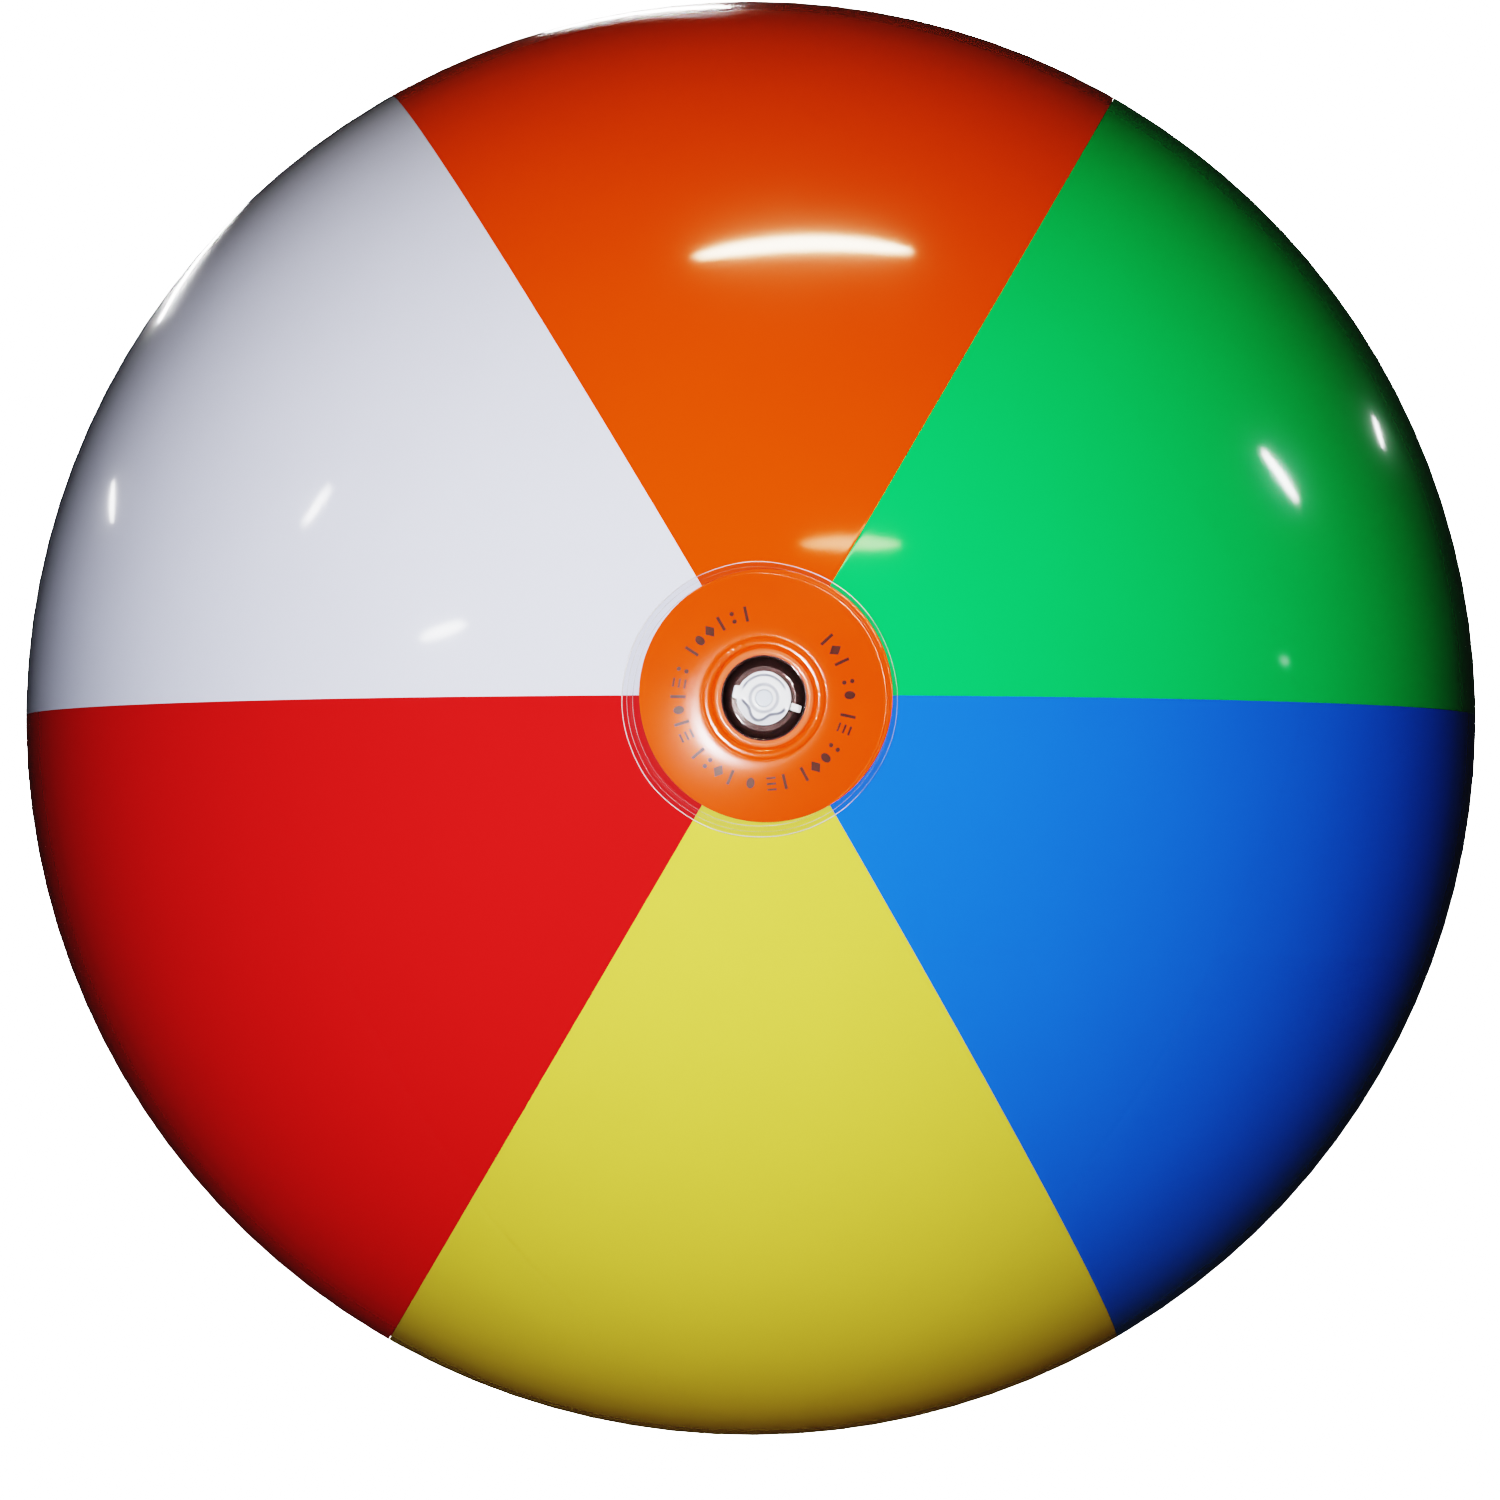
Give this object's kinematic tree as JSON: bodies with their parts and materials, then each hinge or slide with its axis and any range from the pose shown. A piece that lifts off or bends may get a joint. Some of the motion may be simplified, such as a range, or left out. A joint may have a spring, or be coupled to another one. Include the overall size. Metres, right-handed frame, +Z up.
{
  "type": "inflatable beach ball",
  "caption": "Round inflatable ball of coloured film panels with a welded disc at each pole and a recessed push-in air valve with a plug on a strap.",
  "frame": {"origin": "centre of the inflated ball", "axes": "the poles lie along Y, the valve is at the -Y pole and faces -Y, +Z is up through the middle of the orange panel, and the ball stands on the middle of the yellow panel"},
  "size_m": [0.6, 0.601, 0.6],
  "materials": {
    "green_film": "glossy soft vinyl film",
    "orange_film": "glossy soft vinyl film",
    "white_film": "glossy soft vinyl film",
    "red_film": "glossy soft vinyl film",
    "yellow_film": "glossy soft vinyl film",
    "blue_film": "glossy soft vinyl film",
    "printed_disc": "clear glossy film printed orange inside a clear welded margin",
    "clear_valve": "clear soft moulded vinyl",
    "milky_plug": "translucent milky soft vinyl"
  },
  "bodies": {
    "envelope": {"panel_green": "green_film", "panel_orange": "orange_film", "panel_white": "white_film", "panel_red": "red_film", "panel_yellow": "yellow_film", "panel_blue": "blue_film", "valve_disc": "printed_disc", "end_disc": "printed_disc", "valve_flange": "clear_valve", "valve_cup": "clear_valve"},
    "valve_stem": {"valve_stem": "clear_valve", "plug_strap": "milky_plug"},
    "valve_plug": {"valve_plug": "milky_plug"},
    "check_flap": {"check_flap": "clear_valve"}
  },
  "joints": [
    {"name": "stem_slide", "type": "slide", "parent": "envelope", "child": "valve_stem", "axis": [0, -1, 0], "range_m": [0, 0.02], "deforming": ["valve_cup"]},
    {"name": "plug_pull", "type": "slide", "parent": "valve_stem", "child": "valve_plug", "axis": [0, -1, 0], "range_m": [0, 0.012], "deforming": ["plug_strap"]},
    {"name": "flap_hinge", "type": "hinge", "parent": "valve_stem", "child": "check_flap", "pos_m": [0, -0.28124, 0.0065], "axis": [1, 0, 0], "range_deg": [0, 60], "stiffness_Nm_per_rad": 0.0002}
  ]
}
